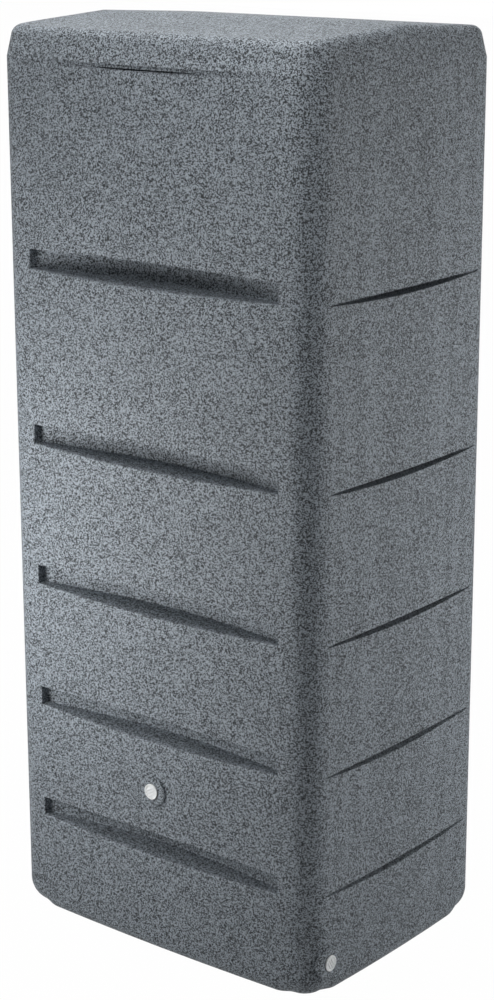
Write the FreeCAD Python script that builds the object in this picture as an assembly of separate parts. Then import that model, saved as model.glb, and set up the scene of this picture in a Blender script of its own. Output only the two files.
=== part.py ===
import FreeCAD, Part
import math
import os

from FreeCAD import Placement, Rotation, Vector

# Upright rainwater tank that stands against a house wall. Its crowned walls are broken
# at the front and the two sides by moulded recesses, like the pulls of a chest of
# drawers. A gabled lid sits over a neck at the top, and two threaded outlets are plugged.
# Millimetres. The origin is the middle of the base, +Z up, the front faces -Y.

# Tank walls. A crown is how far the wall falls back from its middle to the tank's edge
body_width = 639.0
body_depth = 476.0
body_height = 1440.0
front_crown = 9.0
side_crown = 7.0
corner_radius = 48.0
wall = 5.0

# Rounding of the base, which grows from the walls to the corners, and its inner bevel
base_radius = 29.0
base_corner_radius = 44.0
base_transition = 30.0
base_inner_bevel = 26.0

# Recesses, given by the height of the side recesses' straight upper edge
recess_levels = (179.0, 378.0, 590.0, 827.5, 1113.0)

# Front recesses: a flat-ended slot with a bowed back wall
front_recess_margin = 69.5
front_recess_drop = 1.6
front_recess_height = 31.4
front_recess_end_depth = 16.0
front_recess_mid_depth = 45.0
front_recess_sag = 5.6
front_recess_rise = 5.4

# Side recesses: a thin crescent under a straight upper edge
side_recess_margin = 46.0
side_recess_height = 2.5
side_recess_end_depth = 2.0
side_recess_mid_depth = 26.0
side_recess_sag = 7.0

# Finger scoop under the lid's front edge
scoop_margin = 97.5
scoop_depth = 6.0
scoop_height = 12.0

# Neck that the lid sits over
neck_height = 30.0
neck_clearance = 1.0
shoulder_wall = 6.0

# Lid: a tapered skirt under a shallow gable
lid_wall = 5.0
lid_eave_height = 47.0
lid_ridge_height = 60.0
lid_lean = 11.0
lid_edge_bevel = 8.0
lid_inner_bevel = 6.0

# Outlets: where their axes leave the walls
front_outlet_x = 0.0
front_outlet_z = 288.4
side_outlet_setback = 51.5
side_outlet_z = 64.0

# Moulded boss round each outlet
boss_radius = 26.5
boss_proud = 4.5
boss_bevel = 1.0
pad_radius = 24.0

# Pipe thread of the outlets, size G 1/2: the insert is bored to its crest
thread_crest_radius = 9.32
thread_root_radius = 10.48
thread_clearance = 0.06

# Brass insert moulded into each boss
insert_length = 16.0
insert_hex_across = 28.0
insert_groove_radius = 12.2
insert_groove_length = 5.0

# Screwed plug
plug_shank_length = 12.0
plug_bore_radius = 6.5
plug_floor = 3.0
plug_head_radius = 13.0
plug_head_height = 2.6
plug_dish_radius = 10.6
plug_dish_depth = 0.9
grip_rib_width = 1.7
grip_rib_pitch = 4.6
grip_rib_count = 3
grip_rib_angle = 32.0

# Flat seal under the plug's head, and the pocket that it lies in
seal_thickness = 2.0
seal_clearance = 0.12
pocket_clearance = 0.3

# Overshoot of cutting tools past the faces that they open
overshoot = 6.0
small_overshoot = 1.0

# Half lengths that follow the walls
front_recess_half_length = body_width / 2.0 - front_recess_margin
side_recess_half_length = body_depth / 2.0 - side_recess_margin
scoop_half_length = body_width / 2.0 - scoop_margin


def arc_radius(half_length, sagitta):
    """Radius of the arc over a chord."""
    return (half_length ** 2 + sagitta ** 2) / (2.0 * sagitta)


front_wall_radius = arc_radius(body_width / 2.0, front_crown)
side_wall_radius = arc_radius(body_depth / 2.0, side_crown)
front_wall_centre = Vector(0, front_wall_radius - body_depth / 2.0, 0)
side_wall_centre = Vector(body_width / 2.0 - side_wall_radius, 0, 0)


def fall_back(radius, place):
    """How far a crowned wall has fallen back at a distance from its middle."""
    return radius - math.sqrt(radius ** 2 - place ** 2)


def front_corner_centre():
    """Centre of the right front corner's arc, which is tangent to both crowned walls."""
    front_reach = front_wall_radius - corner_radius
    side_reach = side_wall_radius - corner_radius
    between = side_wall_centre - front_wall_centre
    along = (front_reach ** 2 - side_reach ** 2 + between.Length ** 2) / (2.0 * between.Length)
    across = math.sqrt(front_reach ** 2 - along ** 2)
    unit = Vector(between).normalize()
    return front_wall_centre + unit * along + Vector(-unit.y, unit.x, 0) * across


def rear_corner_centre():
    """Centre of the right rear corner's arc, tangent to the side wall and the flat back."""
    y = body_depth / 2.0 - corner_radius
    reach = side_wall_radius - corner_radius
    return Vector(side_wall_centre.x + math.sqrt(reach ** 2 - y ** 2), y, 0)


def touch(wall_centre, wall_radius, corner_centre):
    """Point where a corner's arc meets a crowned wall."""
    return wall_centre + (corner_centre - wall_centre).normalize() * wall_radius


def outline_points(inset):
    """Points of the right half outline, front to back: arc ends with a point between."""
    front_corner = front_corner_centre()
    rear_corner = rear_corner_centre()
    radius = corner_radius - inset
    diagonal = radius * math.sqrt(0.5)
    return (
        touch(front_wall_centre, front_wall_radius - inset, front_corner),
        front_corner + Vector(diagonal, -diagonal, 0),
        touch(side_wall_centre, side_wall_radius - inset, front_corner),
        Vector(body_width / 2.0 - inset, 0, 0),
        touch(side_wall_centre, side_wall_radius - inset, rear_corner),
        rear_corner + Vector(diagonal, diagonal, 0),
        rear_corner + Vector(0, radius, 0),
    )


def outline_edges(inset, z):
    """Edges of the tank's plan outline, moved inwards by inset, at one height."""
    right = [Vector(point.x, point.y, z) for point in outline_points(inset)]
    left = [Vector(-point.x, point.y, z) for point in outline_points(inset)]
    front = Vector(0, inset - body_depth / 2.0, z)
    return [
        Part.Arc(left[0], front, right[0]).toShape(),
        Part.Arc(right[0], right[1], right[2]).toShape(),
        Part.Arc(right[2], right[3], right[4]).toShape(),
        Part.Arc(right[4], right[5], right[6]).toShape(),
        Part.LineSegment(right[6], left[6]).toShape(),
        Part.Arc(left[6], left[5], left[4]).toShape(),
        Part.Arc(left[4], left[3], left[2]).toShape(),
        Part.Arc(left[2], left[1], left[0]).toShape(),
    ]


def tapered_block(low_inset, low_z, high_inset, high_z):
    """A block with the tank's outline, from one inset to another."""
    low = Part.Wire(outline_edges(low_inset, low_z))
    high = Part.Wire(outline_edges(high_inset, high_z))
    return Part.makeLoft([low, high], True, True)


def wall_spans(edge):
    """A wall's edge in three spans, the outer two as long as the base's transition."""
    if edge.Length < 2.0 * base_transition:
        return [edge]
    share = base_transition / edge.Length
    first, last = edge.FirstParameter, edge.LastParameter
    stops = [first + (last - first) * part for part in (0.0, share, 1.0 - share, 1.0)]
    return [edge.Curve.toShape(start, end) for start, end in zip(stops, stops[1:])]


def corner_reach(point):
    """Distance in plan from a point to the nearest corner's centre."""
    here = Vector(abs(point.x), point.y, 0)
    centres = (front_corner_centre(), rear_corner_centre())
    return min(here.distanceToPoint(centre) for centre in centres)


def base_rounding(point):
    """Radius of the base's rounding at one end of a span."""
    near_corner = corner_reach(point) < corner_radius + small_overshoot
    return base_corner_radius if near_corner else base_radius


def level_edges(shape, z):
    """Edges of a shape that lie in the plane at height z."""
    def level(edge):
        return abs(edge.BoundBox.ZMin - z) < 0.01 and abs(edge.BoundBox.ZMax - z) < 0.01
    return [edge for edge in shape.Edges if level(edge)]


def outer_block():
    """A straight block with the tank's outline and its rounded base."""
    spans = [span for edge in outline_edges(0.0, 0.0) for span in wall_spans(edge)]
    document = FreeCAD.newDocument()
    blank = document.addObject("Part::Feature", "blank")
    blank.Shape = Part.Face(Part.Wire(spans)).extrude(Vector(0, 0, body_height))
    base = level_edges(blank.Shape, 0.0)
    rounding = document.addObject("Part::Fillet", "rounding")
    rounding.Base = blank
    rounding.Edges = [
        (number, base_rounding(edge.firstVertex(True).Point),
         base_rounding(edge.lastVertex(True).Point))
        for number, edge in enumerate(blank.Shape.Edges, 1)
        if any(edge.isSame(other) for other in base)
    ]
    document.recompute()
    return rounding.Shape.removeSplitter()


def inner_block():
    """The straight block that hollows the tank, bevelled round its floor."""
    floor = Part.Face(Part.Wire(outline_edges(wall, wall)))
    block = floor.extrude(Vector(0, 0, body_height - shoulder_wall - wall))
    return block.makeChamfer(base_inner_bevel, level_edges(block, wall))


def plan_edge(half_length, end_depth, mid_depth, grow):
    """Ends and middle of a recess's bowed back wall, moved inwards by grow."""
    radius = arc_radius(half_length, mid_depth - end_depth)
    centre = mid_depth - radius
    half = half_length + grow
    bow = math.copysign(math.sqrt((radius + grow) ** 2 - half ** 2), radius)
    return half, centre + bow, mid_depth + grow


def bowed_slab(half_length, end_depth, mid_depth, low, high, grow):
    """Upright slab from outside the wall, at -Y, to the recess's bowed back wall."""
    half, end, middle = plan_edge(half_length, end_depth, mid_depth, grow)
    corners = (
        Vector(-half, end, low),
        Vector(-half, -overshoot, low),
        Vector(half, -overshoot, low),
        Vector(half, end, low),
    )
    edges = [Part.LineSegment(a, b).toShape() for a, b in zip(corners, corners[1:])]
    edges.append(Part.Arc(corners[3], Vector(0, middle, low), corners[0]).toShape())
    return Part.Face(Part.Wire(edges)).extrude(Vector(0, 0, high - low))


def mouth_wire(y, half, low, high, sag, rise):
    """Mouth of a recess: upright ends, a sagging lower and a rising upper edge."""
    low_left = Vector(-half, y, low)
    low_right = Vector(half, y, low)
    high_left = Vector(-half, y, high)
    high_right = Vector(half, y, high)
    return Part.Wire([
        Part.Arc(low_left, Vector(0, y, low - sag), low_right).toShape(),
        Part.LineSegment(low_right, high_right).toShape(),
        Part.Arc(high_right, Vector(0, y, high + rise), high_left).toShape(),
        Part.LineSegment(high_left, low_left).toShape(),
    ])


def slot_wire(y, half, low, high):
    """Straight-sided section of a recess at its full depth."""
    corners = (
        Vector(-half, y, low),
        Vector(half, y, low),
        Vector(half, y, high),
        Vector(-half, y, high),
    )
    closed = zip(corners, corners[1:] + corners[:1])
    return Part.Wire([Part.LineSegment(a, b).toShape() for a, b in closed])


def front_recess(level, grow):
    """Cutter for the front recess at one level: a tongue that flares to its mouth."""
    half = front_recess_half_length + grow
    back = front_recess_mid_depth + grow
    low = level - front_recess_drop - grow
    high = level - front_recess_drop + front_recess_height + grow
    flare = (back + overshoot) / back
    sag = front_recess_sag * flare
    rise = front_recess_rise * flare
    mouth = mouth_wire(-overshoot, half, low, high, sag, rise)
    tongue = Part.makeLoft([mouth, slot_wire(back, half, low, high)], True, True)
    end_depth = front_recess_end_depth + fall_back(front_wall_radius, front_recess_half_length)
    slab = bowed_slab(
        front_recess_half_length, end_depth, front_recess_mid_depth,
        low - sag - small_overshoot, high + rise + small_overshoot, grow,
    )
    cutter = tongue.common(slab)
    cutter.translate(Vector(0, -body_depth / 2.0, 0))
    return cutter


def side_recess(level, side, grow):
    """Cutter for the thin recess of the right (side 1) or left (side -1) wall."""
    half = side_recess_half_length + grow
    low = level - side_recess_height - grow
    high = level + grow
    corners = (
        Vector(-half, 0, low),
        Vector(half, 0, low),
        Vector(half, 0, high),
        Vector(-half, 0, high),
    )
    edges = [Part.Arc(corners[0], Vector(0, 0, low - side_recess_sag), corners[1]).toShape()]
    closing = zip(corners[1:], corners[2:] + corners[:1])
    edges += [Part.LineSegment(a, b).toShape() for a, b in closing]
    reach = side_recess_mid_depth + grow + overshoot
    crescent = Part.Face(Part.Wire(edges)).extrude(Vector(0, reach + overshoot, 0))
    crescent.translate(Vector(0, -overshoot, 0))
    end_depth = side_recess_end_depth + fall_back(side_wall_radius, side_recess_half_length)
    slab = bowed_slab(
        side_recess_half_length, end_depth, side_recess_mid_depth,
        low - side_recess_sag - small_overshoot, high + small_overshoot, grow,
    )
    cutter = crescent.common(slab)
    cutter.rotate(Vector(0, 0, 0), Vector(0, 0, 1), side * 90.0)
    cutter.translate(Vector(side * body_width / 2.0, 0, 0))
    return cutter


def all_recesses(grow):
    """Cutters for every recess, each grown by the wall where the inside is cut."""
    cutters = []
    for level in recess_levels:
        cutters.append(front_recess(level, grow))
        cutters.append(side_recess(level, 1, grow))
        cutters.append(side_recess(level, -1, grow))
    return cutters


def finger_scoop():
    """Cutter for the shallow scoop that lets fingers under the lid's front edge."""
    low = body_height - scoop_height
    end_depth = fall_back(front_wall_radius, scoop_half_length)
    slab = bowed_slab(scoop_half_length, end_depth, scoop_depth, low, body_height, 0.0)
    slope = (
        Vector(-scoop_half_length, 0, low),
        Vector(-scoop_half_length, scoop_depth, body_height - scoop_height / 2.0),
        Vector(-scoop_half_length, scoop_depth, body_height),
        Vector(-scoop_half_length, 0, body_height),
    )
    wedge = Part.Face(Part.makePolygon(list(slope) + [slope[0]]))
    scoop = slab.common(wedge.extrude(Vector(2.0 * scoop_half_length, 0, 0)))
    scoop.translate(Vector(0, -body_depth / 2.0, 0))
    return scoop


def neck_inset():
    """Inset of the neck's outer face where it leaves the shoulder."""
    return lid_wall + neck_clearance


def neck_lean():
    """How far the neck leans in over its height, at the lid's own slope."""
    return lid_lean * neck_height / lid_eave_height


def outlet_place(wall_name):
    """Placement that turns +Z to an outlet's outward normal, at its boss face."""
    if wall_name == "front":
        fall = fall_back(front_wall_radius, front_outlet_x)
        y = fall - body_depth / 2.0 - boss_proud
        return Placement(Vector(front_outlet_x, y, front_outlet_z), Rotation(Vector(1, 0, 0), 90.0))
    y = side_outlet_setback - body_depth / 2.0
    x = body_width / 2.0 - fall_back(side_wall_radius, y) + boss_proud
    return Placement(Vector(x, y, side_outlet_z), Rotation(Vector(0, 1, 0), 90.0))


def placed(shape, wall_name):
    """A shape drawn along +Z, moved to one outlet."""
    moved = shape.copy()
    moved.Placement = outlet_place(wall_name).multiply(moved.Placement)
    return moved


def disc(radius, low, high):
    """Cylinder on the Z axis between two heights."""
    return Part.makeCylinder(radius, high - low, Vector(0, 0, low))


def hexagon(across, low, high):
    """Hexagonal prism on the Z axis between two heights."""
    radius = across / math.sqrt(3.0)
    corners = []
    for index in range(7):
        angle = math.radians(60.0 * index)
        corners.append(Vector(radius * math.cos(angle), radius * math.sin(angle), low))
    return Part.Face(Part.makePolygon(corners)).extrude(Vector(0, 0, high - low))


def insert_depth():
    """Depth of the insert's inner end below the boss face."""
    return seal_thickness + insert_length


def boss():
    """Raised ring outside the wall and the thick pad that holds the insert."""
    ring = disc(boss_radius, -insert_depth(), 0.0)
    ring = ring.makeChamfer(boss_bevel, level_edges(ring, 0.0))
    behind = -insert_depth() - small_overshoot
    below_wall = -boss_proud - wall
    trim = disc(boss_radius + small_overshoot, behind, below_wall)
    return ring.cut(trim.cut(disc(pad_radius, behind, below_wall)))


def insert_blank():
    """Outer form of the brass insert: two hexagonal collars and a round neck."""
    front = -seal_thickness
    back = -insert_depth()
    middle = (front + back) / 2.0
    groove = insert_groove_length / 2.0
    blank = disc(insert_groove_radius, back, front)
    blank = blank.fuse(hexagon(insert_hex_across, middle + groove, front))
    return blank.fuse(hexagon(insert_hex_across, back, middle - groove)).removeSplitter()


def outlet_insert():
    """Threaded brass insert, open right through."""
    bore = disc(thread_crest_radius, -insert_depth() - overshoot, 0.0)
    return insert_blank().cut(bore)


def outlet_seat():
    """Cutter for what the boss leaves free: the insert and the seal's pocket."""
    pocket = disc(plug_head_radius + pocket_clearance, -seal_thickness, overshoot)
    through = disc(thread_crest_radius, -insert_depth() - overshoot, 0.0)
    return insert_blank().fuse([pocket, through])


def outlet_plug():
    """Screwed plug: a hollow shank, a dished round head and ribs to grip it by."""
    shank_radius = thread_crest_radius - thread_clearance
    low = -seal_thickness - plug_shank_length
    head = disc(plug_head_radius, 0.0, plug_head_height)
    plug = head.fuse(disc(shank_radius, low, 0.0)).removeSplitter()
    plug = plug.cut(disc(plug_bore_radius, low - small_overshoot, plug_head_height - plug_floor))
    floor = plug_head_height - plug_dish_depth
    dish = disc(plug_dish_radius, floor, plug_head_height + small_overshoot)
    return plug.cut(dish.cut(Part.makeCompound(grip_ribs(floor))))


def grip_ribs(floor):
    """Straight ribs across the plug's dished face, level with its rim."""
    low = floor - small_overshoot
    height = plug_head_height + 2.0 * small_overshoot - low
    ribs = []
    for index in range(grip_rib_count):
        offset = (index - (grip_rib_count - 1) / 2.0) * grip_rib_pitch
        corner = Vector(-plug_head_radius, offset - grip_rib_width / 2.0, low)
        rib = Part.makeBox(2.0 * plug_head_radius, grip_rib_width, height, corner)
        rib.rotate(Vector(0, 0, 0), Vector(0, 0, 1), grip_rib_angle)
        ribs.append(rib)
    return ribs


def plug_seal():
    """Flat rubber ring between the plug's head and the insert."""
    inner = thread_root_radius + seal_clearance
    return disc(plug_head_radius, -seal_thickness, 0.0).cut(disc(inner, -seal_thickness, 0.0))


def tank_outside():
    """The tank's outer form with its neck, recesses and bosses."""
    outside = outer_block().cut(all_recesses(0.0) + [finger_scoop()])
    neck = tapered_block(
        neck_inset(), body_height - shoulder_wall,
        neck_inset() + neck_lean(), body_height + neck_height,
    )
    return outside.fuse([neck, placed(boss(), "front"), placed(boss(), "side")])


def tank_inside():
    """The space inside the tank, open at the neck and clear of the pads."""
    inside = inner_block().cut(all_recesses(wall))
    inside = inside.cut([placed(boss(), "front"), placed(boss(), "side")])
    mouth_inset = neck_inset() + wall
    mouth = tapered_block(
        mouth_inset, body_height - shoulder_wall,
        mouth_inset + neck_lean(), body_height + neck_height,
    )
    return inside.fuse(mouth)


def tank_body():
    """Moulded tank: outer form less the inside and the two outlet seats."""
    shell = tank_outside().cut(tank_inside())
    seats = [placed(outlet_seat(), "front"), placed(outlet_seat(), "side")]
    return shell.cut(seats)


def gable(drop):
    """Long prism under the lid's two roof planes, lowered by drop."""
    y = body_depth / 2.0
    slope = (lid_ridge_height - lid_eave_height) / (y - lid_lean)
    eave = body_height + lid_ridge_height - slope * (y + overshoot) - drop
    ridge = body_height + lid_ridge_height - drop
    x = -body_width / 2.0 - overshoot
    corners = [
        Vector(x, -y - overshoot, body_height - overshoot),
        Vector(x, -y - overshoot, eave),
        Vector(x, 0, ridge),
        Vector(x, y + overshoot, eave),
        Vector(x, y + overshoot, body_height - overshoot),
    ]
    section = Part.Face(Part.makePolygon(corners + corners[:1]))
    return section.extrude(Vector(body_width + 2.0 * overshoot, 0, 0))


def roof_block(inset, drop):
    """The lid's tapered form under its gable."""
    rise = lid_ridge_height + overshoot
    lean = lid_lean * rise / lid_eave_height
    block = tapered_block(inset, body_height, inset + lean, body_height + rise)
    return block.common(gable(drop))


def eave_edges(block, drop):
    """Edges where the lid's skirt meets its roof."""
    middle = body_height + lid_eave_height / 2.0 - drop
    found = []
    for edge in block.Edges:
        box = edge.BoundBox
        ridge = box.YLength < 0.01 and abs(box.YMin) < 0.01
        if box.ZMin > middle and not ridge:
            found.append(edge)
    return found


def lid():
    """Moulded lid: an even wall that follows its skirt and its gable."""
    outside = roof_block(0.0, 0.0)
    outside = outside.makeChamfer(lid_edge_bevel, eave_edges(outside, 0.0))
    inside = roof_block(lid_wall, lid_wall)
    inside = inside.makeChamfer(lid_inner_bevel, eave_edges(inside, lid_wall))
    return outside.cut(inside)


def pieces():
    """Every node of the tank, by name."""
    nodes = {"tank_body": tank_body(), "lid": lid()}
    for wall_name in ("front", "side"):
        nodes[wall_name + "_outlet_insert"] = placed(outlet_insert(), wall_name)
        nodes[wall_name + "_outlet_plug"] = placed(outlet_plug(), wall_name)
        nodes[wall_name + "_plug_seal"] = placed(plug_seal(), wall_name)
    return nodes


os.makedirs("parts", exist_ok=True)
for name, shape in pieces().items():
    shape.exportStep("parts/" + name + ".step")
    print(name, len(shape.Solids), shape.isValid(), round(shape.Volume / 1000.0, 1), "cm3")
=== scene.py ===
"""Looks of an upright rainwater tank: granite-speckled shell and lid, plugged outlets, studio.

Everything is in metres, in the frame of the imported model: the origin is the middle of the
base, +Z is up and the tank's front faces -Y.
"""

import logging
import math
from collections.abc import Callable
from dataclasses import dataclass
from enum import Enum

import bmesh
import bpy
from mathutils import Matrix, Vector

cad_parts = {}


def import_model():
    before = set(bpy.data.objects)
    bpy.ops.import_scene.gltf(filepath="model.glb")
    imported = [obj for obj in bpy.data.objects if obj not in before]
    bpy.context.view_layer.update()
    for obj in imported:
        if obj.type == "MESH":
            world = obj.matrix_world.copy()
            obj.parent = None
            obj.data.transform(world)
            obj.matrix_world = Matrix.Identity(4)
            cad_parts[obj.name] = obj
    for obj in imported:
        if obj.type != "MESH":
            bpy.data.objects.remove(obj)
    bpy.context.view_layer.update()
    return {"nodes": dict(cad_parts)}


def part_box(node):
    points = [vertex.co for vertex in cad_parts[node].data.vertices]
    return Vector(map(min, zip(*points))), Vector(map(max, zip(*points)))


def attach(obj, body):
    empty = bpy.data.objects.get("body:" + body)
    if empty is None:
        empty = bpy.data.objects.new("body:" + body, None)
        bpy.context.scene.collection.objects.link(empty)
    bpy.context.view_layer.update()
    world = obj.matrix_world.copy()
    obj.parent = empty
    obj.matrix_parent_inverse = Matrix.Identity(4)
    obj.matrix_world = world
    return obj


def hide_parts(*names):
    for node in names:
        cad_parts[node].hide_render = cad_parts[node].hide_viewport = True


LOG = logging.getLogger("rainwater_tank")
MM = 0.001
FULL_TURN = 2.0 * math.pi
MERGE_DISTANCE = 0.002 * MM
THREAD_FLAT_SHARE = 0.1
CURVE_SHARES = (0.0, 0.33, 0.67, 1.0)
CURVE_LIMIT = 0.4

Colour = tuple[float, float, float]
Point = tuple[float, float, float]
Profile = list[tuple[float, float]]
EdgeRule = Callable[[bmesh.types.BMEdge], float]


class Wall(Enum):
    """The walls that carry an outlet, named as the nodes are."""

    FRONT = "front"
    SIDE = "side"


class NodeGraph:
    """Short way to add, set and join the nodes of a shader or geometry tree."""

    def __init__(self, tree: bpy.types.NodeTree) -> None:
        """Start on a tree, emptied of its nodes."""
        self.tree = tree
        self.tree.nodes.clear()

    def add(self, kind: str, settings: dict | None = None, **inputs: object) -> bpy.types.Node:
        """Add a node.

        Args:
            kind: The node's type name.
            settings: Values of the node's own properties.
            **inputs: Input sockets by name, with underscores for spaces, each given a value
                or an output socket to join.

        Returns:
            The new node.
        """
        node = self.tree.nodes.new(kind)
        for key, value in (settings or {}).items():
            setattr(node, key, value)
        for key, value in inputs.items():
            self.feed(node.inputs[key.replace("_", " ")], value)
        return node

    def feed(self, socket: bpy.types.NodeSocket, value: object) -> None:
        """Join an output socket to an input socket, or set the input's own value.

        Args:
            socket: The input socket.
            value: An output socket, or a value.
        """
        if isinstance(value, bpy.types.NodeSocket):
            self.tree.links.new(value, socket)
        else:
            socket.default_value = value

    def math(self, operation: str, *values: object) -> bpy.types.NodeSocket:
        """Add a Math node.

        Args:
            operation: The node's operation.
            *values: The operands, each a value or an output socket.

        Returns:
            The node's output.
        """
        node = self.add("ShaderNodeMath", {"operation": operation})
        for socket, value in zip(node.inputs, values):
            self.feed(socket, value)
        return node.outputs[0]

    def vector_math(self, operation: str, *values: object) -> bpy.types.NodeSocket:
        """Add a Vector Math node.

        Args:
            operation: The node's operation.
            *values: The operands, each a value or an output socket.

        Returns:
            The node's vector output.
        """
        node = self.add("ShaderNodeVectorMath", {"operation": operation})
        for socket, value in zip(node.inputs, values):
            self.feed(socket, value)
        return node.outputs["Vector"]

    def smooth_step(self, value: object, low: float, high: float) -> bpy.types.NodeSocket:
        """Map a value smoothly to 0 below low and 1 above high.

        Args:
            value: The value, or the output socket that gives it.
            low: Where the rise starts.
            high: Where the rise ends.

        Returns:
            The mapped value.
        """
        node = self.add("ShaderNodeMapRange", {"interpolation_type": "SMOOTHSTEP"})
        self.feed(node.inputs["Value"], value)
        node.inputs["From Min"].default_value = low
        node.inputs["From Max"].default_value = high
        return node.outputs["Result"]


def new_tree(kind: str, name: str, inputs: dict[str, str], outputs: dict[str, str]) -> NodeGraph:
    """Make an empty node group with named sockets.

    Args:
        kind: ShaderNodeTree or GeometryNodeTree.
        name: The group's name.
        inputs: Socket type by input name.
        outputs: Socket type by output name.

    Returns:
        A graph on the new group.
    """
    group = bpy.data.node_groups.new(name, kind)
    for label, socket_type in inputs.items():
        group.interface.new_socket(label, in_out="INPUT", socket_type=socket_type)
    for label, socket_type in outputs.items():
        group.interface.new_socket(label, in_out="OUTPUT", socket_type=socket_type)
    return NodeGraph(group)


class ShaderKit:
    """The shader node groups that the finishes share, and the materials made of them."""

    wobble_per_metre: float = 1400.0
    wobble_reach: float = 0.9 * MM
    fine_ratio: float = 1.9
    coarse_share: float = 0.72
    cloud_per_metre: float = 11.0
    wave_per_metre: float = 7.0

    def __init__(self) -> None:
        """Build each group once."""
        self.speckle = self.build_speckle()
        self.peel = self.build_peel()
        self.made: dict[str, bpy.types.Material] = {}

    def material(self, finish: "Finish") -> bpy.types.Material:
        """The material of a finish, made at its first use.

        Args:
            finish: The finish.

        Returns:
            Its material.
        """
        if finish.name not in self.made:
            self.made[finish.name] = finish.build(self)
        return self.made[finish.name]

    def build_speckle(self) -> bpy.types.NodeTree:
        """Granite speckle: irregular grains, each at random between a dark and a light.

        Returns:
            The shader group.
        """
        graph = new_tree(
            "ShaderNodeTree", "granite_speckle",
            {"Grains per Metre": "NodeSocketFloat", "Grain Spread": "NodeSocketFloat",
             "Cloud Depth": "NodeSocketFloat", "Dark": "NodeSocketColor",
             "Light": "NodeSocketColor"},
            {"Color": "NodeSocketColor", "Grain": "NodeSocketFloat"},
        )
        start = graph.add("NodeGroupInput").outputs
        place = graph.add("ShaderNodeTexCoord").outputs["Object"]
        wobble = graph.add(
            "ShaderNodeTexNoise", Vector=place, Scale=self.wobble_per_metre, Detail=1.0,
        )
        shifted = graph.vector_math("SUBTRACT", wobble.outputs["Color"], (0.5, 0.5, 0.5))
        shift = graph.add("ShaderNodeVectorMath", {"operation": "SCALE"}, Scale=self.wobble_reach)
        graph.feed(shift.inputs[0], shifted)
        ragged = graph.vector_math("ADD", place, shift.outputs["Vector"])
        coarse = self.random_cells(graph, ragged, start["Grains per Metre"])
        fine_scale = graph.math("MULTIPLY", start["Grains per Metre"], self.fine_ratio)
        fine = self.random_cells(graph, ragged, fine_scale)
        both = graph.math(
            "ADD", graph.math("MULTIPLY", coarse, self.coarse_share),
            graph.math("MULTIPLY", fine, 1.0 - self.coarse_share),
        )
        spread = graph.math("MULTIPLY", graph.math("SUBTRACT", both, 0.5), start["Grain Spread"])
        cloud = graph.add(
            "ShaderNodeTexNoise", Vector=place, Scale=self.cloud_per_metre, Detail=3.0,
        ).outputs[0]
        drift = graph.math(
            "MULTIPLY", graph.math("SUBTRACT", cloud, 0.5), start["Cloud Depth"],
        )
        level = graph.math("ADD", graph.math("ADD", spread, drift), 0.5)
        grain = graph.smooth_step(level, 0.0, 1.0)
        mix = graph.add("ShaderNodeMix", {"data_type": "RGBA"})
        graph.feed(mix.inputs["Factor"], grain)
        graph.feed(mix.inputs[6], start["Dark"])
        graph.feed(mix.inputs[7], start["Light"])
        end = graph.add("NodeGroupOutput")
        graph.feed(end.inputs["Color"], mix.outputs[2])
        graph.feed(end.inputs["Grain"], grain)
        return graph.tree

    @staticmethod
    def random_cells(
        graph: NodeGraph, place: bpy.types.NodeSocket, scale: bpy.types.NodeSocket,
    ) -> bpy.types.NodeSocket:
        """One random value for each cell of a scattered pattern."""
        cells = graph.add("ShaderNodeTexVoronoi", Vector=place, Scale=scale)
        return graph.add("ShaderNodeSeparateColor", Color=cells.outputs["Color"]).outputs[0]

    def build_peel(self) -> bpy.types.NodeTree:
        """Orange peel of a moulded skin: fine dimples on long soft waves, as a normal.

        Returns:
            The shader group.
        """
        graph = new_tree(
            "ShaderNodeTree", "moulded_peel",
            {"Dimple Depth": "NodeSocketFloat", "Wave Depth": "NodeSocketFloat",
             "Dimples per Metre": "NodeSocketFloat"},
            {"Normal": "NodeSocketVector"},
        )
        start = graph.add("NodeGroupInput").outputs
        place = graph.add("ShaderNodeTexCoord").outputs["Object"]
        dimple = graph.add(
            "ShaderNodeTexNoise", Vector=place, Scale=start["Dimples per Metre"],
            Detail=2.0, Roughness=0.5,
        ).outputs[0]
        wave = graph.add(
            "ShaderNodeTexNoise", Vector=place, Scale=self.wave_per_metre, Detail=1.0,
        ).outputs[0]
        height = graph.math(
            "ADD",
            graph.math("MULTIPLY", dimple, start["Dimple Depth"]),
            graph.math("MULTIPLY", wave, start["Wave Depth"]),
        )
        bump = graph.add("ShaderNodeBump", Strength=1.0, Distance=1.0, Height=height)
        end = graph.add("NodeGroupOutput")
        graph.feed(end.inputs["Normal"], bump.outputs["Normal"])
        return graph.tree


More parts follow.
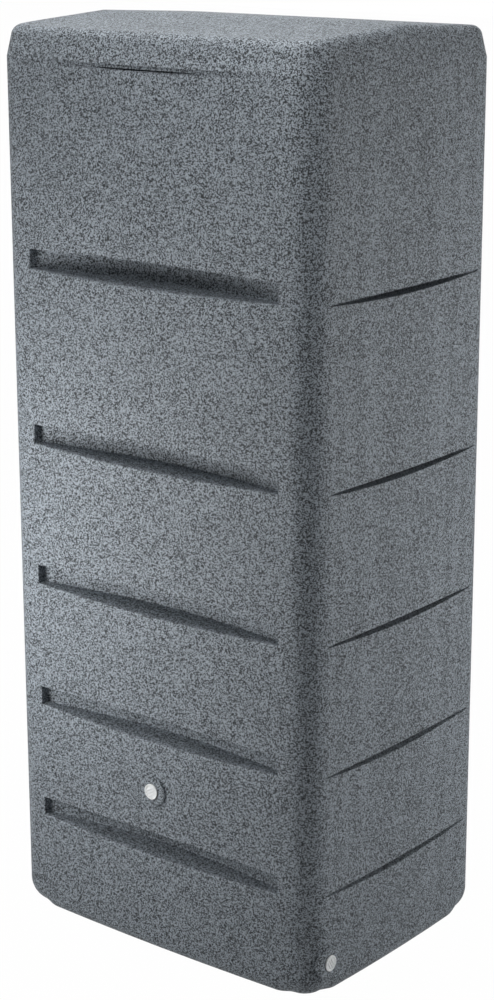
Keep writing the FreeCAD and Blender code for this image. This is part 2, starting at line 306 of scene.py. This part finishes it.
@dataclass(frozen=True)
class Finish:
    """A moulded, machined or rubber finish made from the shared groups."""

    name: str
    dark: Colour
    light: Colour
    grains_per_metre: float
    grain_spread: float
    cloud_depth: float
    roughness: float
    metallic: float = 0.0
    specular: float = 0.5
    dimple_depth: float = 0.00003
    wave_depth: float = 0.0
    dimples_per_metre: float = 1500.0
    polish_range: float = 0.1

    def build(self, kit: ShaderKit) -> bpy.types.Material:
        """Make the material, a little more polished on its light grains.

        Args:
            kit: The shared shader groups.

        Returns:
            The material.
        """
        material = bpy.data.materials.new(self.name)
        material.use_nodes = True
        graph = NodeGraph(material.node_tree)
        speckle = graph.add(
            "ShaderNodeGroup", {"node_tree": kit.speckle},
            Grains_per_Metre=self.grains_per_metre, Grain_Spread=self.grain_spread,
            Cloud_Depth=self.cloud_depth, Dark=(*self.dark, 1.0), Light=(*self.light, 1.0),
        )
        peel = graph.add(
            "ShaderNodeGroup", {"node_tree": kit.peel}, Dimple_Depth=self.dimple_depth,
            Wave_Depth=self.wave_depth, Dimples_per_Metre=self.dimples_per_metre,
        )
        polish = graph.math("MULTIPLY", speckle.outputs["Grain"], self.polish_range)
        roughest = self.roughness + self.polish_range / 2.0
        skin = graph.add(
            "ShaderNodeBsdfPrincipled", Base_Color=speckle.outputs["Color"],
            Roughness=graph.math("SUBTRACT", roughest, polish),
            Normal=peel.outputs["Normal"], Metallic=self.metallic,
        )
        skin.inputs["Specular IOR Level"].default_value = self.specular
        graph.add("ShaderNodeOutputMaterial", Surface=skin.outputs["BSDF"])
        return material


TANK_PLASTIC = Finish(
    "tank_plastic", (0.018, 0.021, 0.024), (0.318, 0.357, 0.395), 640.0, 3.6, 0.35,
    0.66, specular=0.3, dimple_depth=0.00010, wave_depth=0.0012, dimples_per_metre=520.0,
)
LID_PLASTIC = Finish(
    "lid_plastic", (0.020, 0.023, 0.026), (0.330, 0.370, 0.409), 640.0, 3.6, 0.35,
    0.66, specular=0.3, dimple_depth=0.00010, wave_depth=0.0010, dimples_per_metre=520.0,
)
BRASS = Finish("insert_brass", (0.60, 0.43, 0.20), (0.78, 0.60, 0.31), 260.0, 1.0, 0.8, 0.3, 1.0)
WHITE_NYLON = Finish(
    "plug_plastic", (0.84, 0.86, 0.87), (0.92, 0.93, 0.93), 240.0, 1.0, 0.8, 0.4,
)
BLACK_RUBBER = Finish(
    "seal_rubber", (0.014, 0.014, 0.015), (0.030, 0.030, 0.032), 700.0, 1.2, 0.6, 0.75,
)


def new_object(name: str, mesh: bpy.types.Mesh) -> bpy.types.Object:
    """Link a mesh to the scene as an object at the origin.

    Args:
        name: The object's name.
        mesh: Its mesh.

    Returns:
        The object.
    """
    made = bpy.data.objects.new(name, mesh)
    bpy.context.scene.collection.objects.link(made)
    return made


def settle(made: bpy.types.Object) -> None:
    """Turn an object with live modifiers into a plain mesh.

    Args:
        made: The object.
    """
    graph = bpy.context.evaluated_depsgraph_get()
    mesh = bpy.data.meshes.new_from_object(made.evaluated_get(graph), depsgraph=graph)
    made.modifiers.clear()
    made.data = mesh


def run_tree(tree: bpy.types.NodeTree, values: dict[str, object]) -> bpy.types.Mesh:
    """Evaluate a geometry tree once.

    Args:
        tree: The geometry node tree.
        values: The tree's inputs by name.

    Returns:
        What the tree makes, as a plain mesh.
    """
    holder = new_object(tree.name, bpy.data.meshes.new(tree.name))
    modifier = holder.modifiers.new(tree.name, "NODES")
    modifier.node_group = tree
    for item in tree.interface.items_tree:
        if item.item_type == "SOCKET" and item.in_out == "INPUT":
            modifier[item.identifier] = values[item.name]
    settle(holder)
    mesh = holder.data
    bpy.data.objects.remove(holder)
    return mesh


def dress(
    made: bpy.types.Object, finish: Finish, kit: ShaderKit, body: str, node: str,
) -> None:
    """Give a piece its material, body and slot, and let it stand for its node.

    Args:
        made: The piece.
        finish: Its finish, whose name is the record's slot.
        kit: The shared shader groups.
        body: The body that it rides on.
        node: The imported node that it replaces.
    """
    made.data.materials.clear()
    made.data.materials.append(kit.material(finish))
    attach(made, body)
    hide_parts(node)
    LOG.info("%s: %d faces on %s", made.name, len(made.data.polygons), body)


def is_convex_outside(edge: bmesh.types.BMEdge, centre: Vector) -> bool:
    """Whether both faces of an edge look away from a point inside the object."""
    middle = (edge.verts[0].co + edge.verts[1].co) / 2.0
    return all(face.normal.dot(middle - centre) > 0.0 for face in edge.link_faces)


@dataclass
class MouldedSkin:
    """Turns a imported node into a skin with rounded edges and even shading."""

    widest: float
    sharp_angle: float = math.radians(28.0)
    shade_angle: float = math.radians(40.0)
    flat_angle: float = math.radians(0.4)
    crease_angle: float = math.radians(3.2)
    merge_reach: float = 0.04 * MM
    segments: int = 3

    def merged_copy(self, node: bpy.types.Object, name: str) -> bpy.types.Object:
        """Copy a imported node's mesh, merged and with its flat faces whole.

        Args:
            node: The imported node.
            name: Name of the new piece.

        Returns:
            The new piece.
        """
        mesh = node.data.copy()
        work = bmesh.new()
        work.from_mesh(mesh)
        bmesh.ops.remove_doubles(work, verts=work.verts, dist=self.merge_reach)
        work.to_mesh(mesh)
        work.free()
        made = new_object(name, mesh)
        flat = made.modifiers.new("flat faces", "DECIMATE")
        flat.decimate_type = "DISSOLVE"
        flat.angle_limit = self.flat_angle
        settle(made)
        return made

    def round_edges(self, made: bpy.types.Object, rule: EdgeRule) -> None:
        """Round every sharp edge to the width that a rule gives it.

        Args:
            made: The piece.
            rule: Gives the width of the rounding at an edge.
        """
        work = bmesh.new()
        work.from_mesh(made.data)
        work.normal_update()
        weight = work.edges.layers.float.new("bevel_weight_edge")
        for edge in work.edges:
            if edge.is_manifold and edge.calc_face_angle() > self.sharp_angle:
                edge[weight] = rule(edge) / self.widest
        work.to_mesh(made.data)
        work.free()
        bevel = made.modifiers.new("rounded edges", "BEVEL")
        bevel.width = self.widest
        bevel.segments = self.segments
        bevel.limit_method = "WEIGHT"
        bevel.use_clamp_overlap = False
        settle(made)

    def shade(self, made: bpy.types.Object, crease_above: float = math.inf) -> None:
        """Shade the skin smooth between its sharp edges.

        Args:
            made: The piece.
            crease_above: Height above which a slight fold stays a crease.
        """
        work = bmesh.new()
        work.from_mesh(made.data)
        for face in work.faces:
            face.smooth = True
        for edge in work.edges:
            angle = edge.calc_face_angle(0.0)
            high = min(vert.co.z for vert in edge.verts) > crease_above
            edge.smooth = angle < (self.crease_angle if high else self.shade_angle)
        work.to_mesh(made.data)
        work.free()
        weighted = made.modifiers.new("even shading", "WEIGHTED_NORMAL")
        weighted.keep_sharp = True
        settle(made)


@dataclass
class TankShell:
    """The moulded body with its recesses, bosses and parting line."""

    nodes: dict
    kit: ShaderKit
    plain_edge: float = 1.1 * MM
    slot_lip: float = 2.4 * MM
    slot_top: float = 0.8 * MM
    seam_edge: float = 0.25 * MM
    shoulder_height: float = 1.440
    centre_height: float = 0.7
    parting_height: float = 1.141
    parting_width: float = 1.6 * MM
    parting_depth: float = 0.45 * MM
    slot_half_length: float = 0.250
    slot_end_gap: float = 2.0 * MM
    slot_fade: float = 8.0 * MM
    facing: float = 0.8

    def edge_width(self, edge: bmesh.types.BMEdge) -> float:
        """Width of the rounding at one sharp edge.

        Args:
            edge: The edge.

        Returns:
            The width in metres.
        """
        middle = (edge.verts[0].co + edge.verts[1].co) / 2.0
        outside = is_convex_outside(edge, Vector((0.0, 0.0, self.centre_height)))
        if abs(middle.z - self.shoulder_height) < MM and outside:
            return self.seam_edge
        if any(face.normal.y < -self.facing for face in edge.link_faces) and edge.is_convex:
            if any(face.normal.z > self.facing for face in edge.link_faces):
                return self.slot_lip
            if any(face.normal.z < -self.facing for face in edge.link_faces):
                return self.slot_top
        return self.plain_edge

    def parting_share(self, place: Vector) -> float:
        """Share of the parting line's depth at a place: none across the front slot.

        Args:
            place: A point on the outer walls.

        Returns:
            The share, from 0 to 1.
        """
        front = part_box("tank_body")[0].y
        if place.y > front / 2.0:
            return 1.0
        past = (abs(place.x) - self.slot_half_length - self.slot_end_gap) / self.slot_fade
        return min(max(past, 0.0), 1.0)

    def cut_parting_line(self, made: bpy.types.Object) -> None:
        """Press the mould's fine parting line into the outer walls.

        Args:
            made: The shell.
        """
        work = bmesh.new()
        work.from_mesh(made.data)
        large = [face for face in work.faces if len(face.verts) > 4]
        bmesh.ops.triangulate(work, faces=large)
        for offset in (-0.5, 0.0, 0.5):
            bmesh.ops.bisect_plane(
                work, geom=work.verts[:] + work.edges[:] + work.faces[:], dist=MERGE_DISTANCE,
                plane_co=(0.0, 0.0, self.parting_height + offset * self.parting_width),
                plane_no=(0.0, 0.0, 1.0),
            )
        work.normal_update()
        for vert in work.verts:
            outward = Vector((vert.normal.x, vert.normal.y, 0.0))
            level = abs(vert.co.z - self.parting_height) < 2.0 * MERGE_DISTANCE
            if level and outward.dot(vert.co) > 0.0:
                depth = self.parting_depth * self.parting_share(vert.co)
                vert.co -= outward.normalized() * depth
        work.to_mesh(made.data)
        work.free()

    def build(self) -> None:
        """Make the shell from its node and dress it."""
        skin = MouldedSkin(self.slot_lip)
        shell = skin.merged_copy(self.nodes["tank_body"], "tank_shell")
        skin.round_edges(shell, self.edge_width)
        self.cut_parting_line(shell)
        skin.shade(shell)
        dress(shell, TANK_PLASTIC, self.kit, "tank", "tank_body")


@dataclass
class LidShell:
    """The moulded gabled lid."""

    nodes: dict
    kit: ShaderKit
    eave_edge: float = 5.0 * MM
    plain_edge: float = 0.7 * MM
    seam_edge: float = 0.25 * MM
    eave_start: float = 1.468
    seam_height: float = 1.440
    centre_height: float = 1.42
    ridge_margin: float = 0.5 * MM

    def edge_width(self, edge: bmesh.types.BMEdge) -> float:
        """Width of the rounding at one sharp edge.

        Args:
            edge: The edge.

        Returns:
            The width in metres.
        """
        middle = (edge.verts[0].co + edge.verts[1].co) / 2.0
        outside = is_convex_outside(edge, Vector((0.0, 0.0, self.centre_height)))
        if middle.z > self.eave_start and outside:
            return self.eave_edge
        if abs(middle.z - self.seam_height) < MM:
            return self.seam_edge
        return self.plain_edge

    def build(self) -> None:
        """Make the lid from its node and dress it."""
        skin = MouldedSkin(self.eave_edge, segments=5)
        shell = skin.merged_copy(self.nodes["lid"], "lid_shell")
        skin.round_edges(shell, self.edge_width)
        skin.shade(shell, crease_above=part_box("lid")[1].z - self.ridge_margin)
        dress(shell, LID_PLASTIC, self.kit, "lid", "lid")


def softened(profile: Profile, radius: float) -> Profile:
    """Round the inner corners of a profile.

    Args:
        profile: Points as (radius, height).
        radius: Distance from a corner at which its rounding starts.

    Returns:
        The profile with each inner corner as a short curve of four points.
    """
    soft = [profile[0]]
    for before, corner, after in zip(profile, profile[1:], profile[2:]):
        middle = Vector(corner)
        back, ahead = Vector(before) - middle, Vector(after) - middle
        reach = min(radius, CURVE_LIMIT * back.length, CURVE_LIMIT * ahead.length)
        start = middle + back.normalized() * reach
        end = middle + ahead.normalized() * reach
        for share in CURVE_SHARES:
            rest = 1.0 - share
            place = start * rest ** 2 + middle * (2.0 * rest * share) + end * share ** 2
            soft.append((place.x, place.y))
    return soft + [profile[-1]]


def hexagon_stretch(angle: float) -> float:
    """Radius of a hexagon at an angle, as a share of half its width across flats."""
    sixth = FULL_TURN / 6.0
    return 1.0 / math.cos((angle % sixth) - sixth / 2.0)


def lathe(
    work: bmesh.types.BMesh, profile: Profile, steps: int, hexagonal: tuple[float, ...] = (),
) -> None:
    """Turn a profile about the Z axis and add it to a mesh.

    Args:
        work: The mesh to add to.
        profile: Points as (radius, height). A radius of zero makes a pole.
        steps: Number of steps round the axis.
        hexagonal: Radii that are half the width across flats of a hexagon.
    """
    rings = []
    for radius, height in profile:
        ring = []
        for index in range(steps if radius > 0.0 else 1):
            angle = FULL_TURN * index / steps
            reach = radius * (hexagon_stretch(angle) if radius in hexagonal else 1.0)
            ring.append(work.verts.new((reach * math.cos(angle), reach * math.sin(angle), height)))
        rings.append(ring)
    for low, high in zip(rings, rings[1:]):
        for index in range(steps):
            after = (index + 1) % steps
            corners = (
                low[index % len(low)], low[after % len(low)],
                high[after % len(high)], high[index % len(high)],
            )
            work.faces.new(list(dict.fromkeys(corners)))


def build_thread_tree() -> bpy.types.NodeTree:
    """Sleeve with a right-hand screw thread, drawn along +Z and faded out at both ends.

    Returns:
        The geometry tree.
    """
    graph = new_tree(
        "GeometryNodeTree", "screw_thread",
        {"Core Radius": "NodeSocketFloat", "Depth": "NodeSocketFloat",
         "Pitch": "NodeSocketFloat", "Low": "NodeSocketFloat", "High": "NodeSocketFloat",
         "Fade": "NodeSocketFloat", "Steps Around": "NodeSocketInt", "Rows": "NodeSocketInt",
         "Material": "NodeSocketMaterial"},
        {"Geometry": "NodeSocketGeometry"},
    )
    start = graph.add("NodeGroupInput").outputs
    around = graph.math("ADD", start["Steps Around"], 1.0)
    grid = graph.add(
        "GeometryNodeMeshGrid", Size_X=1.0, Size_Y=1.0, Vertices_X=around,
        Vertices_Y=start["Rows"],
    )
    position = graph.add("GeometryNodeInputPosition").outputs[0]
    place = graph.add("ShaderNodeSeparateXYZ", Vector=position).outputs
    turn = graph.math("ADD", place["X"], 0.5)
    climb = graph.math("ADD", place["Y"], 0.5)
    length = graph.math("SUBTRACT", start["High"], start["Low"])
    height = graph.math("ADD", start["Low"], graph.math("MULTIPLY", climb, length))
    phase = graph.math("SUBTRACT", graph.math("DIVIDE", height, start["Pitch"]), turn)
    saw = graph.math("FRACT", phase)
    flank = graph.math("ABSOLUTE", graph.math("SUBTRACT", graph.math("MULTIPLY", saw, 2.0), 1.0))
    rise = graph.math("SUBTRACT", 1.0, flank)
    ridge = graph.smooth_step(rise, THREAD_FLAT_SHARE, 1.0 - THREAD_FLAT_SHARE)
    to_end = graph.math(
        "MINIMUM", graph.math("SUBTRACT", height, start["Low"]),
        graph.math("SUBTRACT", start["High"], height),
    )
    fade = graph.math("MINIMUM", graph.math("DIVIDE", to_end, start["Fade"]), 1.0)
    raised = graph.math("MULTIPLY", graph.math("MULTIPLY", ridge, fade), start["Depth"])
    radius = graph.math("ADD", start["Core Radius"], raised)
    angle = graph.math("MULTIPLY", turn, FULL_TURN)
    moved = graph.add(
        "ShaderNodeCombineXYZ",
        X=graph.math("MULTIPLY", radius, graph.math("COSINE", angle)),
        Y=graph.math("MULTIPLY", radius, graph.math("SINE", angle)),
        Z=height,
    )
    sleeve = graph.add(
        "GeometryNodeSetPosition", Geometry=grid.outputs["Mesh"], Position=moved.outputs[0],
    )
    closed = graph.add(
        "GeometryNodeMergeByDistance", Geometry=sleeve.outputs[0], Distance=MERGE_DISTANCE,
    )
    real = graph.add("GeometryNodeRealizeInstances", Geometry=closed.outputs[0])
    dressed = graph.add(
        "GeometryNodeSetMaterial", Geometry=real.outputs[0], Material=start["Material"],
    )
    graph.add("NodeGroupOutput", Geometry=dressed.outputs[0])
    return graph.tree


def build_rib_tree() -> bpy.types.NodeTree:
    """Straight round-edged grip ribs side by side in a round dish.

    Returns:
        The geometry tree.
    """
    graph = new_tree(
        "GeometryNodeTree", "grip_ribs",
        {"Ribs": "NodeSocketInt", "Pitch": "NodeSocketFloat", "Width": "NodeSocketFloat",
         "Height": "NodeSocketFloat", "Floor": "NodeSocketFloat",
         "Dish Radius": "NodeSocketFloat", "Rounding": "NodeSocketFloat",
         "Turn": "NodeSocketFloat", "Material": "NodeSocketMaterial"},
        {"Geometry": "NodeSocketGeometry"},
    )
    start = graph.add("NodeGroupInput").outputs
    gaps = graph.math("SUBTRACT", start["Ribs"], 1.0)
    first = graph.math("MULTIPLY", graph.math("MULTIPLY", gaps, start["Pitch"]), -0.5)
    middle = graph.math("ADD", start["Floor"], graph.math("MULTIPLY", start["Height"], 0.5))
    row = graph.add(
        "GeometryNodeMeshLine", Count=start["Ribs"],
        Start_Location=graph.add("ShaderNodeCombineXYZ", Y=first, Z=middle).outputs[0],
        Offset=graph.add("ShaderNodeCombineXYZ", Y=start["Pitch"]).outputs[0],
    )
    position = graph.add("GeometryNodeInputPosition").outputs[0]
    across = graph.add("ShaderNodeSeparateXYZ", Vector=position).outputs["Y"]
    square = graph.math(
        "SUBTRACT", graph.math("POWER", start["Dish Radius"], 2.0),
        graph.math("MULTIPLY", across, across),
    )
    chord = graph.math("MULTIPLY", graph.math("SQRT", square), 2.0)
    section = graph.add(
        "GeometryNodeCurvePrimitiveQuadrilateral", Width=start["Width"], Height=start["Height"],
    )
    rounded = graph.add(
        "GeometryNodeFilletCurve", Curve=section.outputs[0], Radius=start["Rounding"],
    )
    path = graph.add("GeometryNodeCurvePrimitiveLine", Start=(-0.5, 0, 0), End=(0.5, 0, 0))
    bar = graph.add(
        "GeometryNodeCurveToMesh", Curve=path.outputs[0], Profile_Curve=rounded.outputs[0],
    )
    bar.inputs["Fill Caps"].default_value = True
    ribs = graph.add(
        "GeometryNodeInstanceOnPoints", Points=row.outputs[0], Instance=bar.outputs[0],
        Scale=graph.add("ShaderNodeCombineXYZ", X=chord, Y=1.0, Z=1.0).outputs[0],
    )
    turned = graph.add(
        "GeometryNodeTransform", Geometry=ribs.outputs[0],
        Rotation=graph.add("ShaderNodeCombineXYZ", Z=start["Turn"]).outputs[0],
    )
    real = graph.add("GeometryNodeRealizeInstances", Geometry=turned.outputs[0])
    dressed = graph.add(
        "GeometryNodeSetMaterial", Geometry=real.outputs[0], Material=start["Material"],
    )
    graph.add("NodeGroupOutput", Geometry=dressed.outputs[0])
    return graph.tree


@dataclass
class Outlet:
    """One plugged outlet, drawn along +Z from its boss face and then moved to its wall."""

    wall: Wall
    kit: ShaderKit
    thread_tree: bpy.types.NodeTree
    rib_tree: bpy.types.NodeTree
    steps: int = 96
    rows_per_turn: int = 12
    pitch: float = 1.814 * MM
    thread_depth: float = 1.16 * MM
    thread_fade: float = 1.2 * MM
    bore_radius: float = 9.32 * MM
    thread_gap: float = 0.06 * MM
    mouth_radius: float = 10.6 * MM
    lead: float = 1.2 * MM
    seal_thickness: float = 2.0 * MM
    seal_gap: float = 0.02 * MM
    head_radius: float = 13.0 * MM
    head_height: float = 2.6 * MM
    dish_radius: float = 10.6 * MM
    dish_depth: float = 1.5 * MM
    plug_bore_radius: float = 6.5 * MM
    plug_floor: float = 3.0 * MM
    shank_length: float = 12.0 * MM
    insert_length: float = 16.0 * MM
    hexagon_half: float = 14.0 * MM
    groove_radius: float = 12.2 * MM
    groove_length: float = 5.0 * MM
    rib_count: int = 3
    rib_pitch: float = 4.6 * MM
    rib_width: float = 1.7 * MM
    rib_turn: float = math.radians(32.0)
    edge: float = 0.45 * MM
    shade_angle: float = math.radians(35.0)

    def placement(self) -> Matrix:
        """Turn and move from +Z to the outlet's outward axis, at its boss face.

        Returns:
            The transform.
        """
        low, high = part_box(f"{self.wall.value}_plug_seal")
        middle = (low + high) / 2.0
        if self.wall is Wall.FRONT:
            face = Vector((middle.x, low.y, middle.z))
            return Matrix.Translation(face) @ Matrix.Rotation(math.radians(90.0), 4, "X")
        face = Vector((high.x, middle.y, middle.z))
        return Matrix.Translation(face) @ Matrix.Rotation(math.radians(90.0), 4, "Y")

    def add_thread(
        self, work: bmesh.types.BMesh, core_radius: float, low: float, high: float,
    ) -> None:
        """Add a threaded sleeve between two heights.

        Args:
            work: The mesh to add to.
            core_radius: Radius at the thread's root.
            low: Height at which the sleeve starts.
            high: Height at which it ends.
        """
        rows = math.ceil((high - low) / self.pitch * self.rows_per_turn) + 1
        sleeve = run_tree(self.thread_tree, {
            "Core Radius": core_radius, "Depth": self.thread_depth, "Pitch": self.pitch,
            "Low": low, "High": high, "Fade": self.thread_fade,
            "Steps Around": self.steps, "Rows": rows, "Material": None,
        })
        work.from_mesh(sleeve)

    def add_ribs(self, work: bmesh.types.BMesh) -> None:
        """Add the grip ribs of the plug's head, sunk a little into its dish and rim.

        Args:
            work: The mesh to add to.
        """
        floor = self.head_height - self.dish_depth
        ribs = run_tree(self.rib_tree, {
            "Ribs": self.rib_count, "Pitch": self.rib_pitch, "Width": self.rib_width,
            "Height": self.dish_depth + self.edge, "Floor": floor - self.edge,
            "Dish Radius": self.dish_radius + self.edge, "Rounding": self.edge / 2.0,
            "Turn": self.rib_turn, "Material": None,
        })
        work.from_mesh(ribs)

    def finish(
        self, work: bmesh.types.BMesh, part: str, finish: Finish, body: str,
    ) -> None:
        """Close, place and dress one turned piece.

        Args:
            work: The piece along +Z, which is freed.
            part: The piece's name after that of its wall.
            finish: Its finish.
            body: The body that it rides on.
        """
        bmesh.ops.remove_doubles(work, verts=work.verts, dist=MERGE_DISTANCE)
        bmesh.ops.recalc_face_normals(work, faces=work.faces)
        bmesh.ops.transform(work, matrix=self.placement(), verts=work.verts)
        for face in work.faces:
            face.smooth = True
        for edge in work.edges:
            edge.smooth = edge.calc_face_angle(0.0) < self.shade_angle
        name = f"{self.wall.value}_{part}"
        mesh = bpy.data.meshes.new(name)
        work.to_mesh(mesh)
        work.free()
        dress(new_object(f"{name}_piece", mesh), finish, self.kit, body, name)

    def build_plug(self) -> None:
        """Screwed plug with a dished and ribbed round head on a hollow threaded shank."""
        core = self.bore_radius - self.thread_gap
        floor = self.head_height - self.dish_depth
        thread_high = -self.lead
        tip = -self.seal_thickness - self.shank_length
        thread_low = tip + self.lead
        bore_end = self.head_height - self.plug_floor
        work = bmesh.new()
        head = [
            (0.0, floor), (self.dish_radius, floor), (self.dish_radius, self.head_height),
            (self.head_radius, self.head_height), (self.head_radius, 0.0), (core, 0.0),
            (core, thread_high),
        ]
        lathe(work, softened(head, self.edge), self.steps)
        self.add_thread(work, core, thread_low, thread_high)
        shank = [
            (core, thread_low), (core - self.lead / 2.0, tip), (self.plug_bore_radius, tip),
            (self.plug_bore_radius, bore_end), (0.0, bore_end),
        ]
        lathe(work, softened(shank, self.edge), self.steps)
        self.add_ribs(work)
        self.finish(work, "outlet_plug", WHITE_NYLON, f"{self.wall.value}_plug")

    def build_insert(self) -> None:
        """Brass insert: two hexagonal collars, a round groove and a threaded bore."""
        front = -self.seal_thickness
        back = front - self.insert_length
        middle = (front + back) / 2.0
        groove = self.groove_length / 2.0
        thread_high = front - self.lead
        thread_low = back + self.lead
        flats = self.hexagon_half
        work = bmesh.new()
        outside = [
            (self.bore_radius, thread_high), (self.mouth_radius, front), (flats, front),
            (flats, middle + groove), (self.groove_radius, middle + groove),
            (self.groove_radius, middle - groove), (flats, middle - groove), (flats, back),
            (self.mouth_radius, back), (self.bore_radius, thread_low),
        ]
        lathe(work, outside, self.steps, hexagonal=(flats,))
        self.add_thread(work, self.bore_radius, thread_low, thread_high)
        self.finish(work, "outlet_insert", BRASS, "tank")

    def build_seal(self) -> None:
        """Flat rubber ring with rounded edges."""
        inner, outer = self.mouth_radius, self.head_radius
        middle = (inner + outer) / 2.0
        low, high = -self.seal_thickness, -self.seal_gap
        ring = [
            (middle, low), (outer, low), (outer, high), (inner, high), (inner, low), (middle, low),
        ]
        work = bmesh.new()
        lathe(work, softened(ring, self.edge), self.steps)
        self.finish(work, "plug_seal", BLACK_RUBBER, f"{self.wall.value}_seal")

    def build(self) -> None:
        """Build the three pieces."""
        self.build_insert()
        self.build_seal()
        self.build_plug()


@dataclass(frozen=True)
class Softbox:
    """One rectangular studio lamp."""

    name: str
    place: Point
    aim: Point
    width: float
    height: float
    power: float

    def build(self) -> None:
        """Hang the lamp and turn it to the point that it lights."""
        data = bpy.data.lights.new(self.name, "AREA")
        data.shape = "RECTANGLE"
        data.size = self.width
        data.size_y = self.height
        data.energy = self.power
        lamp = bpy.data.objects.new(self.name, data)
        bpy.context.scene.collection.objects.link(lamp)
        lamp.location = self.place
        lamp.visible_camera = False
        way = Vector(self.aim) - Vector(self.place)
        lamp.rotation_euler = way.to_track_quat("-Z", "Y").to_euler()


SOFTBOXES = (
    Softbox("front_softbox", (-0.45, -0.80, 0.68), (-0.20, -0.24, 0.75), 0.3, 0.5, 4.6),
    Softbox("low_front_softbox", (-0.35, -1.25, 0.25), (-0.10, -0.24, 0.50), 0.4, 0.4, 2.2),
    Softbox("upper_front_lamp", (0.35, -0.9, 1.75), (0.2, -0.24, 1.4), 0.3, 0.3, 2.9),
    Softbox("rear_right_softbox", (1.7, 1.5, 1.0), (0.3, 0.0, 0.75), 1.0, 1.8, 10.5),
    Softbox("right_softbox", (1.5, 0.4, 0.75), (0.3, 0.0, 0.7), 0.6, 1.0, 7.4),
    Softbox("top_softbox", (-0.3, -0.4, 3.2), (0.0, 0.0, 1.4), 1.4, 1.4, 41.0),
    Softbox("rear_left_softbox", (-1.6, 1.6, 1.0), (-0.3, 0.1, 0.75), 1.0, 1.6, 9.0),
)


@dataclass
class Studio:
    """Camera, lamps, world and floor."""

    camera_place: Point = (2.2380, -2.7715, 1.7248)
    yaw: float = 38.876
    pitch: float = 15.706
    roll: float = -0.129
    focal_share: float = 2.2558
    sensor: float = 36.0
    floor_size: float = 40.0
    floor_drop: float = 0.2 * MM
    floor_grey: float = 0.5
    view_limit: float = 100.0
    ambient: float = 0.02
    backdrop_share: float = 0.99

    def build_camera(self) -> None:
        """Place the camera where the photo was taken from."""
        data = bpy.data.cameras.new("camera")
        data.sensor_width = self.sensor
        data.lens = self.focal_share * self.sensor
        data.clip_end = self.view_limit
        camera = bpy.data.objects.new("camera", data)
        bpy.context.scene.collection.objects.link(camera)
        yaw = Matrix.Rotation(math.radians(self.yaw), 4, "Z")
        tilt = Matrix.Rotation(math.radians(90.0 - self.pitch), 4, "X")
        roll = Matrix.Rotation(math.radians(self.roll), 4, "Z")
        camera.matrix_world = Matrix.Translation(self.camera_place) @ yaw @ tilt @ roll
        bpy.context.scene.camera = camera

    @staticmethod
    def seen_directly(graph: NodeGraph) -> bpy.types.NodeSocket:
        """1 for what the camera sees straight on, in a gloss or through glass.

        Args:
            graph: The graph to add the test to.

        Returns:
            The test's output.
        """
        path = graph.add("ShaderNodeLightPath").outputs
        seen = graph.math("MAXIMUM", path["Is Camera Ray"], path["Is Glossy Ray"])
        return graph.math("MAXIMUM", seen, path["Is Transmission Ray"])

    def build_world(self) -> None:
        """Dim even light on the object, white where the camera or a gloss looks past it."""
        world = bpy.data.worlds.new("studio")
        world.use_nodes = True
        bpy.context.scene.world = world
        graph = NodeGraph(world.node_tree)
        dim = graph.add("ShaderNodeBackground", Color=(1, 1, 1, 1), Strength=self.ambient)
        white = graph.add("ShaderNodeBackground", Color=(1, 1, 1, 1), Strength=1.0)
        mix = graph.add("ShaderNodeMixShader", Fac=self.seen_directly(graph))
        graph.feed(mix.inputs[1], dim.outputs[0])
        graph.feed(mix.inputs[2], white.outputs[0])
        graph.add("ShaderNodeOutputWorld", Surface=mix.outputs[0])

    def build_floor(self) -> None:
        """White floor that keeps a faint shadow of the tank."""
        mesh = bpy.data.meshes.new("floor")
        half = self.floor_size / 2.0
        corners = [(-half, -half, 0), (half, -half, 0), (half, half, 0), (-half, half, 0)]
        mesh.from_pydata(corners, [], [(0, 1, 2, 3)])
        floor = new_object("floor", mesh)
        floor.location.z = -self.floor_drop
        material = bpy.data.materials.new("floor_white")
        material.use_nodes = True
        graph = NodeGraph(material.node_tree)
        grey = (self.floor_grey, self.floor_grey, self.floor_grey, 1)
        plain = graph.add("ShaderNodeBsdfDiffuse", Color=grey)
        glow = graph.add("ShaderNodeEmission", Color=(1, 1, 1, 1), Strength=1.0)
        share = graph.math("MULTIPLY", self.seen_directly(graph), self.backdrop_share)
        mix = graph.add("ShaderNodeMixShader", Fac=share)
        graph.feed(mix.inputs[1], plain.outputs[0])
        graph.feed(mix.inputs[2], glow.outputs[0])
        graph.add("ShaderNodeOutputMaterial", Surface=mix.outputs[0])
        mesh.materials.append(material)

    def build(self) -> None:
        """Build the whole studio."""
        self.build_camera()
        self.build_world()
        self.build_floor()
        for softbox in SOFTBOXES:
            softbox.build()
        bpy.context.scene.view_settings.view_transform = "Standard"


def corners(bounds: tuple[Vector, Vector]) -> list[list[float]]:
    """Two corners as plain lists of numbers."""
    return [list(bounds[0]), list(bounds[1])]


def main() -> None:
    """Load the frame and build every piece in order."""
    logging.basicConfig(level=logging.INFO, format="%(name)s %(message)s")
    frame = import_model()
    Studio().build()
    kit = ShaderKit()
    TankShell(frame["nodes"], kit).build()
    LidShell(frame["nodes"], kit).build()
    thread_tree = build_thread_tree()
    rib_tree = build_rib_tree()
    for wall in Wall:
        Outlet(wall, kit, thread_tree, rib_tree).build()


if __name__ == "__main__":
    main()
